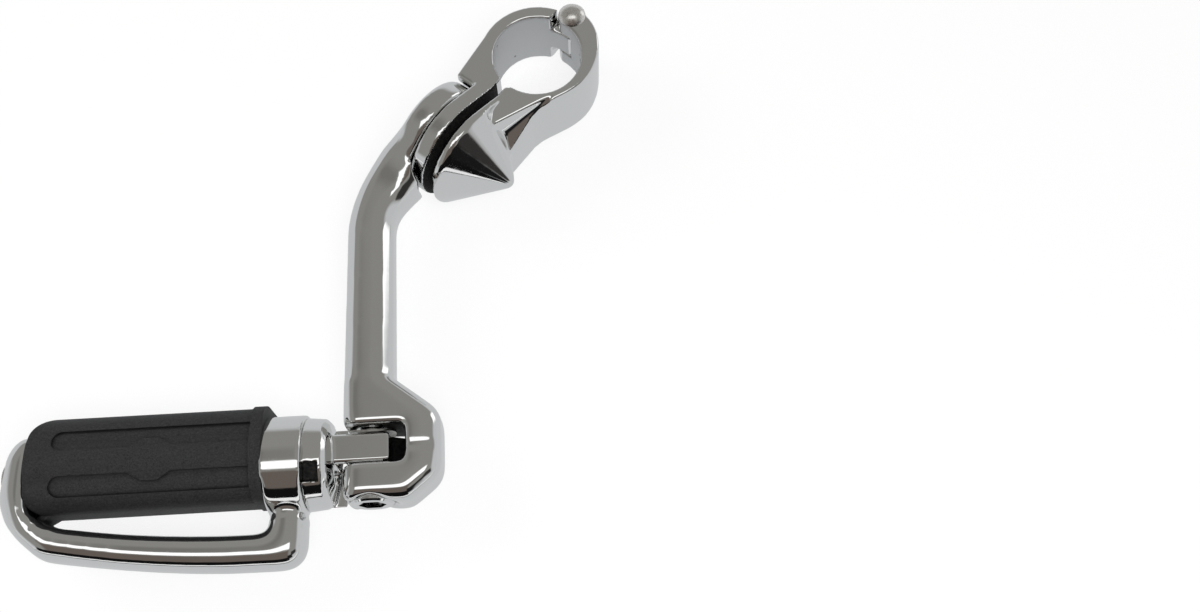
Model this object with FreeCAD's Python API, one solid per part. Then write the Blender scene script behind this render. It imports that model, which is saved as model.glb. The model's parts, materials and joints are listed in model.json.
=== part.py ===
import FreeCAD, Part
import math
import os

# Long-arm highway peg for a round engine guard tube, left-hand one of a pair.
# Lengths are in millimetres and angles in degrees.
# The origin is the centre of the clamp bore, halfway through its width.
# +Z runs along the bore, the arm's leg hangs along -Y and the peg points along -X.
# The clamp has its own two directions in the plane z = 0:
# u runs from the hinge through the bore to the bolt, v points to the spike.

os.makedirs("parts", exist_ok=True)
Vec = FreeCAD.Vector
Z_AXIS = Vec(0, 0, 1)
Y_AXIS = Vec(0, 1, 0)
X_AXIS = Vec(1, 0, 0)

# Clearances
RUN_FIT = 0.06
BODY_GAP = 0.3
SEAT_GAP = 0.05

# Clamp
CLAMP_ANGLE = 230.0
TUBE_D = 31.75
BORE_PLAY = 0.25
CLAMP_W = 27.0
RING_WALL = 5.0
SPLIT_GAP = 3.3
SPLIT_V = -4.5
HINGE_U = -21.0
KNUCKLE_R = 5.2
KNUCKLE_H = 11.5
HINGE_PIN_D = 6.0
PIN_HEAD_D = 10.0
PIN_HEAD_H = 2.6
EAR_U = 42.0
EAR_R = 20.0
FIXED_EAR_T = 6.0
SWING_EAR_T = 2.5
SHOULDER_U = 24.0
SHOULDER_V = -18.2
NECK_WALL_V = 13.2
NECK_END_U = 37.0
NECK_COVE_R = 10.5
COVE_START_U = 9.5
COVE_FULL_U = 35.0
COVE_SET_V = 1.5
SPIKE_H = 19.4
SPIKE_TIP_R = 3.0

# Clamp bolt
BOLT_D = 10.0
BOLT_THREAD_D = 8.5
BOLT_HEAD_D = 16.0
BOLT_HEAD_H = 6.5
BOLT_HEX = 8.0
BOLT_HEX_DEPTH = 4.0
BOLT_SEAT_WALL = 3.0
WASHER_D = 17.0
WASHER_T = 1.4
LOCK_WASHER_T = 2.0
LOCK_WASHER_CUT = 2.0
BOLT_REACH_V = 13.0
SPIKE_HOLE_V = 15.5

# Arm
ARM_W = 16.5
ARM_OUTER_V = -23.4
BAR_ROOT_V = -21.3
ARM_INNER_V = -4.1
BOSS_OUTER_V = -22.6
BOSS_BEVEL_V = 3.9
BOSS_BEVEL_R = 9.0
BAR_ROOT_BEVEL = 6.0
ARM_CHAMFER = 4.2
ARM_HALF_H = 8.5
ARM_RECESS_R = 21.6
LEG_X = -61.6
OUTER_BEND_R = 55.0
INNER_BEND_R = 13.8
LEG_END_Y = -121.0

# Clevis at the foot of the arm
CLEVIS_HALF_H = 10.0
CLEVIS_BEVEL = 3.2
CLEVIS_RIGHT_X = -37.4
CLEVIS_END_Y = -160.4
CLEVIS_FLARE_Y = -130.6
CLEVIS_FOOT_CUT = 10.8
CLEVIS_ROUND = 9.0
SLOT_TOP_Y = -134.9
SLOT_W = 12.5
SLOT_WALL_X = -49.2
EAR_ROUND_R = 11.2
GROOVE_W = 3.0
GROOVE_DEPTH = 1.2

# Clevis bolt, the pin that the peg folds about
PIN_X = -60.8
PIN_D = 10.0
PIN_THREAD_D = 8.0
PIN_HEAD_OD = 14.6
PIN_HEAD_T = 6.0
PIN_BORE_OD = 16.4
PIN_HEX = 8.0
PIN_SINK = 0.6
PIN_THREAD_L = 9.0
LOCK_SCREW_D = 4.0
LOCK_SCREW_HEX = 2.0
WAVE_WASHER_OD = 15.6
WAVE_WASHER_T = 0.7
WAVE_RISE = 1.4

# Peg
PEG_Y = -145.2
TONGUE_T = 9.8
TONGUE_HALF_H = 8.0
TONGUE_END_X = -54.4
HEEL_TOP_Z = -1.6
MOUNT_R = 15.5
MOUNT_TAPER = 0.6
MOUNT_FACE_X = -72.6
MOUNT_FACE_R = 8.0
MOUNT_BEVEL = 1.6
MOUNT_CONE_L = 1.3
STOP_TOP_Z = -6.8
COLLAR_X = -81.6
COLLAR_R = 16.5
COLLAR_L = 13.2
SPIGOT_R = 8.0
SPIGOT_L = 9.0
NOTCH_L = 5.2
NOTCH_W = 6.2
NOTCH_DEPTH = 3.2
NOTCH_ANGLE = 67.0
KEY_W = 5.0
KEY_L = 2.2
KEY_H = 3.0
CORE_R = 8.0
CORE_WALL = 2.6
PEG_BOLT_D = 8.0
PEG_BOLT_THREAD_D = 6.8
PEG_BOLT_HEAD_D = 13.0
PEG_BOLT_HEAD_H = 4.4
PEG_BOLT_HEX = 5.0
PEG_BOLT_GRIP = 8.0
PEG_WASHER_OD = 13.6
PEG_WASHER_T = 1.2

# Rubber sleeve
PAD_W = 32.0
PAD_SHIFT = 3.0
PAD_H = 27.0
PAD_L = 76.0
PAD_FAR_R = 10.0
PAD_NEAR_R = 5.0
PAD_CORNER = 8.5
PAD_CROWN = 1.6
PAD_LIP_L = 3.2
PAD_LIP_H = 0.9
PAD_FOOT_L = 4.0
PAD_FOOT_IN = 3.6
PAD_FOOT_DROP = 2.0
PAD_FOOT_HALF_H = 4.0
PAD_GROOVE_DEPTH = 0.8
PAD_GROOVE_W = 6.6
PAD_GROOVE_Y = 7.5
PAD_GROOVE_SHIFT = -1.2
PAD_GROOVE_START = 3.6
PAD_GROOVE_END = 8.0
PAD_DIP_W = 14.0
PAD_DIP_FLAT = 5.0
PAD_DIP = 2.7

# Stirrup frame of the peg
FRAME_HALF_H = 7.0
OVAL_SIDES = 16
OVAL_POWER = 2.5
LEG_OUTER_X = -82.0
LEG_W = 11.2
BAR_OUTER_Y = -179.0
BAR_W = 10.8
BAR_CORNER_R = 6.5
INNER_CORNER_R = 3.5
BAR_RISE = 10.0
INNER_RISE = 0.71
CAP_HALF_H = 11.6
CAP_T = 10.1
CAP_FLOOR = 4.0
CAP_SWELL = 7.0
CAP_DEEP = 11.0
CAP_TIP_T = 4.6
CAP_TIP_SET = 6.6
POCKET_R = 4.0

BORE_R = (TUBE_D + BORE_PLAY) / 2
RING_R = BORE_R + RING_WALL
HALF_W = CLAMP_W / 2
SWING_V = SPLIT_V + SPLIT_GAP
FIXED_EAR_V = SPLIT_V - FIXED_EAR_T
ARM_FACE_V = FIXED_EAR_V - BODY_GAP
SLOT_END_Y = SLOT_TOP_Y - SLOT_W
PAD_START_X = COLLAR_X - COLLAR_L
PAD_END_X = PAD_START_X - PAD_L
CAP_END_X = PAD_END_X - CAP_T
PAD_Y = PEG_Y + PAD_SHIFT

ang = math.radians(CLAMP_ANGLE)
U_DIR = Vec(math.cos(ang), math.sin(ang), 0)
V_DIR = Vec(-math.sin(ang), math.cos(ang), 0)


def at(u, v, z=0.0):
    return U_DIR * u + V_DIR * v + Z_AXIS * z


def face(points):
    return Part.Face(Part.makePolygon(points + [points[0]]))


def prism_z(points, z0, z1):
    flat = [Vec(p.x, p.y, z0) for p in points]
    return face(flat).extrude(Vec(0, 0, z1 - z0))


def cylinder(base, axis, radius, length):
    return Part.makeCylinder(radius, length, base, axis)


def tube(base, axis, outer, inner, length):
    return cylinder(base, axis, outer, length).cut(cylinder(base, axis, inner, length))


def hexagon(base, axis, across, depth):
    side = axis.cross(Z_AXIS)
    if side.Length < 0.1:
        side = X_AXIS
    side.normalize()
    up = axis.cross(side)
    reach = across / math.sqrt(3)
    corners = []
    for i in range(6):
        turn = math.radians(60 * i)
        corners.append(base + side * (reach * math.cos(turn)) + up * (reach * math.sin(turn)))
    return face(corners).extrude(axis * depth)


def screw(seat, axis, head_d, head_h, across, hex_depth, shank_d, shank_l, thread_d, thread_l):
    # axis points from the head to the tip and seat is the underside of the head
    head = cylinder(seat - axis * head_h, axis, head_d / 2, head_h)
    rim = [e for e in head.Edges if e.Closed and abs((e.CenterOfMass - seat).dot(axis) + head_h) < 0.01]
    head = head.makeChamfer(0.6, rim)
    body = head.fuse(cylinder(seat, axis, shank_d / 2, shank_l))
    if thread_l > 0:
        body = body.fuse(cylinder(seat + axis * shank_l, axis, thread_d / 2, thread_l))
    socket = hexagon(seat - axis * head_h, axis, across, hex_depth)
    return body.cut(socket).removeSplitter()


def save(shape, node):
    solid = shape.removeSplitter()
    if len(solid.Solids) == 1:
        solid = solid.Solids[0]
    solid.exportStep("parts/" + node + ".step")
    print(node, len(solid.Solids), round(solid.Volume, 1), solid.isValid())
    return solid


def ear_profile(v0, thickness):
    # ring half width widening along tangents into the round ear
    reach = EAR_U - BORE_R - RING_WALL
    dist = math.hypot(reach, HALF_W)
    lean = math.asin(EAR_R / dist) - math.atan2(HALF_W, reach)
    tip_u = EAR_U - EAR_R * math.sin(lean)
    tip_z = EAR_R * math.cos(lean)
    start = BORE_R + RING_WALL
    pts = [at(0, v0, HALF_W), at(start, v0, HALF_W), at(tip_u, v0, tip_z),
           at(EAR_U, v0, 0), at(tip_u, v0, -tip_z), at(start, v0, -HALF_W), at(0, v0, -HALF_W)]
    web = face(pts).extrude(V_DIR * thickness)
    disc = cylinder(at(EAR_U, v0), V_DIR, EAR_R, thickness)
    return web.fuse(disc)


def clamp_fixed_jaw():
    low = at(0, 0, -HALF_W)
    ring = cylinder(low, Z_AXIS, RING_R, CLAMP_W)
    shoulder = prism_z([at(0, -RING_R), at(SHOULDER_U, SHOULDER_V), at(SHOULDER_U, FIXED_EAR_V),
                        at(SHOULDER_U, SPLIT_V), at(0, SPLIT_V)], -HALF_W, HALF_W)
    body = ring.fuse(shoulder).fuse(ear_profile(FIXED_EAR_V, FIXED_EAR_T))
    far = 3 * EAR_R
    end_v = -KNUCKLE_R - 2 * BODY_GAP
    keep_off = prism_z([at(-far, end_v), at(0, end_v), at(0, SPLIT_V), at(2 * far, SPLIT_V),
                        at(2 * far, far), at(-far, far)], -far, far)
    body = body.cut(keep_off)
    knuckle = cylinder(at(HINGE_U, 0, -KNUCKLE_H / 2), Z_AXIS, KNUCKLE_R, KNUCKLE_H)
    web = prism_z([at(HINGE_U - KNUCKLE_R * 0.96, -1.5), at(HINGE_U, 0), at(HINGE_U + KNUCKLE_R, 0),
                   at(HINGE_U + KNUCKLE_R + 2, end_v - 1.5), at(HINGE_U + 2.6, end_v - 4.6)],
                  -KNUCKLE_H / 2, KNUCKLE_H / 2)
    body = body.fuse(knuckle).fuse(web)
    body = body.cut(cylinder(low, Z_AXIS, BORE_R, CLAMP_W))
    body = body.cut(cylinder(at(HINGE_U, 0, -HALF_W), Z_AXIS, HINGE_PIN_D / 2 + RUN_FIT, CLAMP_W))
    bolt_hole = cylinder(at(EAR_U, FIXED_EAR_V), V_DIR, BOLT_D / 2 + RUN_FIT, FIXED_EAR_T)
    boss_room = cylinder(at(EAR_U, FIXED_EAR_V - EAR_R), V_DIR, EAR_R + BODY_GAP, EAR_R)
    return body.cut(bolt_hole).cut(boss_room)


def clamp_swing_jaw():
    low = at(0, 0, -HALF_W)
    outline = [at(HINGE_U - 3.4, 4.2), at(-18.2, 14.4), at(-11.4, 18.4), at(-4.2, 20.1),
               at(3.4, 19.2), at(10.4, 16.4), at(16.4, 13.9)]
    wall_start = at(20.0, NECK_WALL_V)
    curve = Part.BSplineCurve()
    curve.interpolate(outline)
    corners = [outline[-1], wall_start, at(NECK_END_U, NECK_WALL_V), at(NECK_END_U, SWING_V),
               at(SHOULDER_U, SWING_V), at(BORE_R, 0.2), at(0, 0), at(HINGE_U, 0), outline[0]]
    edges = [curve.toShape()]
    for a, b in zip(corners[:-1], corners[1:]):
        edges.append(Part.LineSegment(a, b).toShape())
    plan = Part.Face(Part.Wire(edges))
    body = plan.extrude(Vec(0, 0, CLAMP_W)).translated(Vec(0, 0, -HALF_W))
    body = body.cut(neck_cove())
    body = body.fuse(ear_profile(SWING_V, SWING_EAR_T).common(split_side(BORE_R + 1.0)))
    body = body.fuse(spike())
    body = body.fuse(cylinder(at(HINGE_U, 0, -HALF_W), Z_AXIS, KNUCKLE_R, CLAMP_W))
    body = body.cut(cylinder(low, Z_AXIS, BORE_R, CLAMP_W))
    slot_h = KNUCKLE_H + 2 * BODY_GAP
    slot = cylinder(at(HINGE_U, 0, -slot_h / 2), Z_AXIS, KNUCKLE_R + 2 * BODY_GAP, slot_h)
    slot_mouth = prism_z([at(HINGE_U - 2 * KNUCKLE_R, 0), at(HINGE_U - 2 * KNUCKLE_R, -2 * KNUCKLE_R),
                          at(0, -2 * KNUCKLE_R), at(0, 0)], -slot_h / 2, slot_h / 2)
    body = body.cut(slot).cut(slot_mouth)
    body = body.cut(cylinder(at(HINGE_U, 0, -HALF_W), Z_AXIS, HINGE_PIN_D / 2 + RUN_FIT, CLAMP_W))
    thread_hole = cylinder(at(EAR_U, SWING_V), V_DIR, BOLT_D / 2 + RUN_FIT, SPIKE_HOLE_V - SWING_V)
    return body.cut(thread_hole)


def split_side(from_u):
    far = 3 * EAR_R
    return prism_z([at(from_u, SWING_V), at(far, SWING_V), at(far, far), at(from_u, far)], -far, far)


def neck_cove():
    # scoop that opens along the upper outer edge of the neck, from the ring to the spike
    centre_v = NECK_WALL_V + COVE_SET_V
    corner = at(COVE_START_U, centre_v, HALF_W)
    opening = Part.makeCone(0.01, NECK_COVE_R, COVE_FULL_U - COVE_START_U, corner, U_DIR)
    run = NECK_END_U - COVE_FULL_U + 1
    return opening.fuse(cylinder(at(COVE_FULL_U, centre_v, HALF_W), U_DIR, NECK_COVE_R, run))


def spike():
    # round-tipped spike turned about the bolt axis, standing on the disc of the ear
    base_v = SWING_V + SWING_EAR_T
    centre_v = base_v + SPIKE_H - SPIKE_TIP_R
    dist = math.hypot(EAR_R, centre_v - base_v)
    slope = math.atan2(EAR_R, centre_v - base_v) - math.asin(SPIKE_TIP_R / dist)
    touch = Vec(SPIKE_TIP_R * math.cos(slope), centre_v + SPIKE_TIP_R * math.sin(slope), 0)
    middle = Vec(SPIKE_TIP_R * math.sin((math.pi / 2 - slope) / 2),
                 centre_v + SPIKE_TIP_R * math.cos((math.pi / 2 - slope) / 2), 0)
    tip = Vec(0, centre_v + SPIKE_TIP_R, 0)
    foot = Vec(0, SWING_V + 1, 0)
    rim = Vec(EAR_R, base_v, 0)
    inner = Vec(EAR_R, SWING_V + 1, 0)
    edges = [Part.LineSegment(foot, inner).toShape(),
             Part.LineSegment(inner, rim).toShape(),
             Part.LineSegment(rim, touch).toShape(),
             Part.Arc(touch, middle, tip).toShape(),
             Part.LineSegment(tip, foot).toShape()]
    turned = Part.Face(Part.Wire(edges)).revolve(Vec(0, 0, 0), Y_AXIS, 360)
    turned.rotate(Vec(0, 0, 0), Z_AXIS, CLAMP_ANGLE)
    turned.translate(at(EAR_U, 0))
    return turned


def clamp_hinge_pin():
    shank = cylinder(at(HINGE_U, 0, -HALF_W - 0.4), Z_AXIS, HINGE_PIN_D / 2, CLAMP_W + 0.4)
    cap_r = ((PIN_HEAD_D / 2) ** 2 + PIN_HEAD_H ** 2) / (2 * PIN_HEAD_H)
    ball = Part.makeSphere(cap_r, at(HINGE_U, 0, HALF_W + PIN_HEAD_H - cap_r))
    above = cylinder(at(HINGE_U, 0, HALF_W), Z_AXIS, PIN_HEAD_D, 2 * PIN_HEAD_H)
    tail = cylinder(at(HINGE_U, 0, -HALF_W - 1.2), Z_AXIS, HINGE_PIN_D / 2 + 0.8, 1.2)
    return shank.fuse(ball.common(above)).fuse(tail)


def bolt_seat_v():
    return ARM_FACE_V - BOLT_SEAT_WALL


def clamp_bolt_washer():
    return tube(at(EAR_U, bolt_seat_v() - WASHER_T), V_DIR, WASHER_D / 2,
                BOLT_D / 2 + SEAT_GAP, WASHER_T)


def clamp_lock_washer():
    base_v = bolt_seat_v() - WASHER_T - LOCK_WASHER_T
    ring = tube(at(EAR_U, base_v), V_DIR, BOLT_HEAD_D / 2, BOLT_D / 2 + SEAT_GAP, LOCK_WASHER_T)
    cut = Part.makeBox(BOLT_HEAD_D, LOCK_WASHER_CUT, 2 * LOCK_WASHER_T)
    cut.translate(Vec(0, -LOCK_WASHER_CUT / 2, -LOCK_WASHER_T))
    cut.rotate(Vec(0, 0, 0), X_AXIS, 20)
    cut.rotate(Vec(0, 0, 0), X_AXIS, -90)
    cut.rotate(Vec(0, 0, 0), Z_AXIS, CLAMP_ANGLE)
    cut.translate(at(EAR_U, base_v + LOCK_WASHER_T / 2))
    return ring.cut(cut)


def clamp_bolt():
    seat_v = bolt_seat_v() - WASHER_T - LOCK_WASHER_T
    shank = SWING_V - 1.0 - seat_v
    return screw(at(EAR_U, seat_v), V_DIR, BOLT_HEAD_D, BOLT_HEAD_H, BOLT_HEX, BOLT_HEX_DEPTH,
                 BOLT_D, shank, BOLT_THREAD_D, BOLT_REACH_V - SWING_V + 1.0)


def octagon(centre, side, width, half_h, chamfer):
    # side is the unit direction across the bar in plan
    a = width / 2
    b = a - chamfer
    c = half_h - chamfer
    pairs = [(-b, half_h), (b, half_h), (a, c), (a, -c), (b, -half_h), (-b, -half_h), (-a, -c), (-a, c)]
    pts = [centre + side * p + Z_AXIS * q for p, q in pairs]
    return Part.makePolygon(pts + [pts[0]])


def bend_centre(side_x, side_v, radius):
    # centre of an arc that runs from the leg's side into the same side of the upper bar
    x = side_x + radius
    return Vec(x, (side_v + radius - V_DIR.x * x) / V_DIR.y, 0)


def arm_section(outer, inner, half_h, chamfer):
    across = inner - outer
    return octagon((outer + inner) / 2, across.normalize(), (inner - outer).Length, half_h, chamfer)


def arm_bar():
    # bevelled bar: it narrows from the boss through a wide outer and a tight inner bend to the leg
    outer_c = bend_centre(LEG_X - ARM_W / 2, ARM_OUTER_V, OUTER_BEND_R)
    inner_c = bend_centre(LEG_X + ARM_W / 2, ARM_INNER_V, INNER_BEND_R)
    outer_u = outer_c.dot(U_DIR)
    bend_u = inner_c.dot(U_DIR)
    lean = math.asin((EAR_R - ARM_HALF_H) / (bend_u - EAR_U))
    first_u = EAR_U + EAR_R * math.sin(lean)
    first_h = EAR_R * math.cos(lean)
    stations = []
    for step in range(6):
        share = step / 6
        rest = 1 - math.sin(share * math.pi / 2)
        u = first_u + (bend_u - first_u) * share
        reach = max(u - outer_u, 0)
        slant = (BAR_ROOT_V - ARM_OUTER_V) * max(outer_u - u, 0) / (outer_u - first_u)
        outer_v = ARM_OUTER_V + slant + OUTER_BEND_R - math.sqrt(OUTER_BEND_R ** 2 - reach ** 2)
        height = ARM_HALF_H + (first_h - ARM_HALF_H) * rest
        bevel = ARM_CHAMFER + (BAR_ROOT_BEVEL - ARM_CHAMFER) * rest
        stations.append(arm_section(at(u, outer_v), at(u, ARM_INNER_V), height, bevel))
    offset = outer_c - inner_c
    first_turn = CLAMP_ANGLE - 90
    for step in range(9):
        turn = math.radians(first_turn + (180 - first_turn) * step / 8)
        out = Vec(math.cos(turn), math.sin(turn), 0)
        along = offset.dot(out)
        far = along + math.sqrt(OUTER_BEND_R ** 2 - offset.Length ** 2 + along ** 2)
        stations.append(arm_section(inner_c + out * far, inner_c + out * INNER_BEND_R,
                                    ARM_HALF_H, ARM_CHAMFER))
    upper = Part.makeLoft(stations, True, True)
    leg_end = octagon(Vec(LEG_X, LEG_END_Y, 0), X_AXIS, ARM_W, CLEVIS_HALF_H, ARM_CHAMFER)
    return upper.fuse(Part.makeLoft([stations[-1], leg_end], True, True))


def arm_boss():
    # round boss with a broad bevel that lies against the clamp ear
    profile = [Vec(0, ARM_FACE_V, 0), Vec(EAR_R, ARM_FACE_V, 0),
               Vec(EAR_R, BOSS_OUTER_V + BOSS_BEVEL_V, 0),
               Vec(EAR_R - BOSS_BEVEL_R, BOSS_OUTER_V, 0), Vec(0, BOSS_OUTER_V, 0)]
    boss = face(profile).revolve(Vec(0, 0, 0), Y_AXIS, 360)
    boss.rotate(Vec(0, 0, 0), Z_AXIS, CLAMP_ANGLE)
    boss.translate(at(EAR_U, 0))
    return boss


def clevis_block():
    # block with rounded corners and bevelled front and back edges
    left = LEG_X - ARM_W / 2
    right = LEG_X + ARM_W / 2
    top_y = LEG_END_Y + 3
    foot_x = CLEVIS_RIGHT_X - CLEVIS_FOOT_CUT
    corners = [(Vec(left, CLEVIS_END_Y, 0), CLEVIS_BEVEL + 0.5),
               (Vec(foot_x, CLEVIS_END_Y, 0), CLEVIS_BEVEL + 2),
               (Vec(CLEVIS_RIGHT_X, CLEVIS_END_Y + CLEVIS_FOOT_CUT * 0.8, 0), CLEVIS_ROUND),
               (Vec(CLEVIS_RIGHT_X, CLEVIS_FLARE_Y, 0), CLEVIS_ROUND)]
    outline = [Vec(left, top_y, 0)] + [c for c, r in corners] + [Vec(right, top_y, 0)]
    block = prism_z(outline, -CLEVIS_HALF_H, CLEVIS_HALF_H)
    for corner, radius in corners:
        upright = [e for e in block.Edges if e.BoundBox.ZLength > CLEVIS_HALF_H
                   and e.CenterOfMass.distanceToPoint(corner) < 0.01]
        block = block.makeFillet(radius, upright)
    level = [e for e in block.Edges if e.BoundBox.ZLength < 0.01 and e.CenterOfMass.y < top_y - 0.01]
    return block.makeChamfer(CLEVIS_BEVEL, level)


def arm():
    body = arm_bar().fuse(arm_boss())
    recess = cylinder(at(EAR_U, ARM_FACE_V), V_DIR, ARM_RECESS_R, 2 * EAR_R)
    body = body.cut(recess).fuse(clevis_block())
    bolt_hole = cylinder(at(EAR_U, BOSS_OUTER_V), V_DIR, BOLT_D / 2 + RUN_FIT, EAR_R)
    seat = cylinder(at(EAR_U, bolt_seat_v() - EAR_R), V_DIR, WASHER_D / 2 + 0.3, EAR_R)
    body = body.cut(bolt_hole).cut(seat)
    left = LEG_X - ARM_W / 2
    slot = Part.makeBox(SLOT_WALL_X - left + 5, SLOT_W, 4 * CLEVIS_HALF_H,
                        Vec(left - 5, SLOT_END_Y, -2 * CLEVIS_HALF_H))
    body = body.cut(slot)
    corner_box = Part.makeBox(PIN_X - left + 5, 60, 2 * CLEVIS_HALF_H, Vec(left - 5, CLEVIS_END_Y - 15, 0))
    round_end = cylinder(Vec(PIN_X, CLEVIS_END_Y - 15, 0), Y_AXIS, EAR_ROUND_R, 60)
    ends = Part.makeBox(60, SLOT_TOP_Y + 5 - (CLEVIS_END_Y - 15), 60, Vec(left - 5, CLEVIS_END_Y - 15, 0))
    body = body.cut(corner_box.cut(round_end).common(ends))
    groove_y = SLOT_END_Y + SLOT_W * 0.4
    groove = prism_x_wedge(groove_y)
    body = body.cut(groove)
    head_room = cylinder(Vec(PIN_X, CLEVIS_END_Y - 5, 0), Y_AXIS, PIN_BORE_OD / 2,
                         5 + PIN_SINK + PIN_HEAD_T)
    pin_hole = cylinder(Vec(PIN_X, CLEVIS_END_Y, 0), Y_AXIS, PIN_D / 2 + RUN_FIT,
                        SLOT_TOP_Y - CLEVIS_END_Y)
    thread = cylinder(Vec(PIN_X, SLOT_TOP_Y - 1, 0), Y_AXIS, PIN_THREAD_D / 2 + RUN_FIT, PIN_THREAD_L + 2)
    screw_hole = cylinder(Vec(PIN_X, SLOT_TOP_Y + PIN_THREAD_L / 2, -2 * CLEVIS_HALF_H), Z_AXIS,
                          LOCK_SCREW_D / 2 + SEAT_GAP, 2 * CLEVIS_HALF_H)
    return body.cut(head_room).cut(pin_hole).cut(thread).cut(screw_hole)


def prism_x_wedge(y):
    # shallow V groove across the front of the clevis, from the slot to the rounded side
    z = CLEVIS_HALF_H
    pts = [Vec(SLOT_WALL_X, y - GROOVE_W / 2, z), Vec(SLOT_WALL_X, y + GROOVE_W / 2, z),
           Vec(SLOT_WALL_X, y, z - GROOVE_DEPTH)]
    return face(pts).extrude(Vec(20, 0, 0))


def clevis_bolt():
    seat = Vec(PIN_X, CLEVIS_END_Y + PIN_SINK + PIN_HEAD_T, 0)
    shank = SLOT_TOP_Y - 1 - seat.y
    return screw(seat, Y_AXIS, PIN_HEAD_OD, PIN_HEAD_T, PIN_HEX, PIN_HEAD_T * 0.7, PIN_D, shank,
                 PIN_THREAD_D, PIN_THREAD_L)


def clevis_lock_screw():
    top = PIN_THREAD_D / 2 + SEAT_GAP
    length = CLEVIS_HALF_H - 1 - top
    centre = Vec(PIN_X, SLOT_TOP_Y + PIN_THREAD_L / 2, -top)
    body = cylinder(centre, Z_AXIS * -1, LOCK_SCREW_D / 2, length)
    socket = hexagon(centre - Z_AXIS * length, Z_AXIS, LOCK_SCREW_HEX, length / 2)
    return body.cut(socket)


def clevis_wave_washer():
    # spring washer bent in a shallow arch about X, between the tongue and the upper ear
    top_y = SLOT_TOP_Y - SEAT_GAP
    half = WAVE_WASHER_OD / 2
    bow = (half ** 2 + WAVE_RISE ** 2) / (2 * WAVE_RISE)
    shell = tube(Vec(PIN_X - half, top_y - bow, 0), X_AXIS, bow, bow - WAVE_WASHER_T, 2 * half)
    stamp = tube(Vec(PIN_X, top_y - WAVE_RISE - WAVE_WASHER_T, 0), Y_AXIS, half,
                 PIN_D / 2 + SEAT_GAP, WAVE_RISE + WAVE_WASHER_T)
    return shell.common(stamp)


def peg_mount():
    # keyed round base, folding tongue and the spigot that enters the collar
    bevel_x = MOUNT_FACE_X - MOUNT_CONE_L
    rim_x = bevel_x - MOUNT_BEVEL
    rim_r = MOUNT_R - MOUNT_TAPER
    profile = [Vec(COLLAR_X - SPIGOT_L, 0, 0), Vec(COLLAR_X - SPIGOT_L, SPIGOT_R, 0),
               Vec(COLLAR_X, SPIGOT_R, 0), Vec(COLLAR_X, MOUNT_R, 0), Vec(rim_x, rim_r, 0),
               Vec(bevel_x, rim_r - MOUNT_BEVEL, 0), Vec(MOUNT_FACE_X, MOUNT_FACE_R, 0),
               Vec(MOUNT_FACE_X, 0, 0)]
    base = face(profile).revolve(Vec(0, 0, 0), X_AXIS, 360)
    base.translate(Vec(0, PEG_Y, 0))
    stop_end = LEG_X - ARM_W / 2 - BODY_GAP
    stop = cylinder(Vec(rim_x - 1, PEG_Y, 0), X_AXIS, rim_r, stop_end - rim_x + 1)
    stop_box = Part.makeBox(stop_end - rim_x + 1, 4 * MOUNT_R, MOUNT_R, Vec(rim_x - 1, PEG_Y - 2 * MOUNT_R,
                                                                          STOP_TOP_Z - MOUNT_R))
    low_y = SLOT_END_Y + BODY_GAP
    heel_x = SLOT_WALL_X - BODY_GAP
    root_x = rim_x - 1
    side = [Vec(root_x, low_y, -TONGUE_HALF_H), Vec(heel_x, low_y, -TONGUE_HALF_H),
            Vec(heel_x, low_y, HEEL_TOP_Z), Vec(TONGUE_END_X, low_y, HEEL_TOP_Z + 3.4),
            Vec(TONGUE_END_X, low_y, TONGUE_HALF_H), Vec(root_x, low_y, TONGUE_HALF_H)]
    tongue = face(side).extrude(Vec(0, TONGUE_T, 0))
    long_edges = [e for e in tongue.Edges if e.BoundBox.YLength < 0.01 and e.BoundBox.ZLength < 0.01]
    tongue = tongue.makeChamfer(0.8, long_edges)
    body = base.fuse([tongue, stop.common(stop_box)])
    body = body.cut(cylinder(Vec(PIN_X, low_y, 0), Y_AXIS, PIN_D / 2 + RUN_FIT, TONGUE_T))
    body = body.cut(notch_box(NOTCH_W, NOTCH_L, NOTCH_DEPTH, NOTCH_ANGLE))
    body = body.cut(notch_box(KEY_W, KEY_L, KEY_H, -NOTCH_ANGLE))
    thread_end = COLLAR_X + PEG_BOLT_GRIP
    thread = cylinder(Vec(COLLAR_X - SPIGOT_L, PEG_Y, 0), X_AXIS, PEG_BOLT_THREAD_D / 2 + SEAT_GAP,
                      thread_end + SPIGOT_L - COLLAR_X)
    return body.cut(thread)


def notch_box(width, length, depth, angle):
    # rectangular notch in the collar end of the round base, turned about the peg axis
    box = Part.makeBox(length, width, 2 * depth, Vec(COLLAR_X, -width / 2, MOUNT_R - depth))
    box.rotate(Vec(0, 0, 0), X_AXIS, 90 - angle)
    box.translate(Vec(0, PEG_Y, 0))
    return box


def peg_core():
    # plain tube between the spigot and the end cap, inside the rubber
    start = COLLAR_X - SPIGOT_L - SEAT_GAP
    length = start - PAD_END_X - SEAT_GAP
    return tube(Vec(PAD_END_X + SEAT_GAP, PEG_Y, 0), X_AXIS, CORE_R, CORE_R - CORE_WALL, length)


def peg_bolt():
    seat_x = PAD_END_X - CAP_FLOOR - PEG_WASHER_T
    total = COLLAR_X + PEG_BOLT_GRIP - 1 - seat_x
    thread_l = PEG_BOLT_GRIP + SPIGOT_L
    return screw(Vec(seat_x, PEG_Y, 0), X_AXIS, PEG_BOLT_HEAD_D, PEG_BOLT_HEAD_H, PEG_BOLT_HEX,
                 PEG_BOLT_HEAD_H * 0.6, PEG_BOLT_D, total - thread_l, PEG_BOLT_THREAD_D, thread_l)


def peg_bolt_washer():
    return tube(Vec(PAD_END_X - CAP_FLOOR - PEG_WASHER_T, PEG_Y, 0), X_AXIS, PEG_WASHER_OD / 2,
                PEG_BOLT_D / 2 + SEAT_GAP, PEG_WASHER_T)


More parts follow.
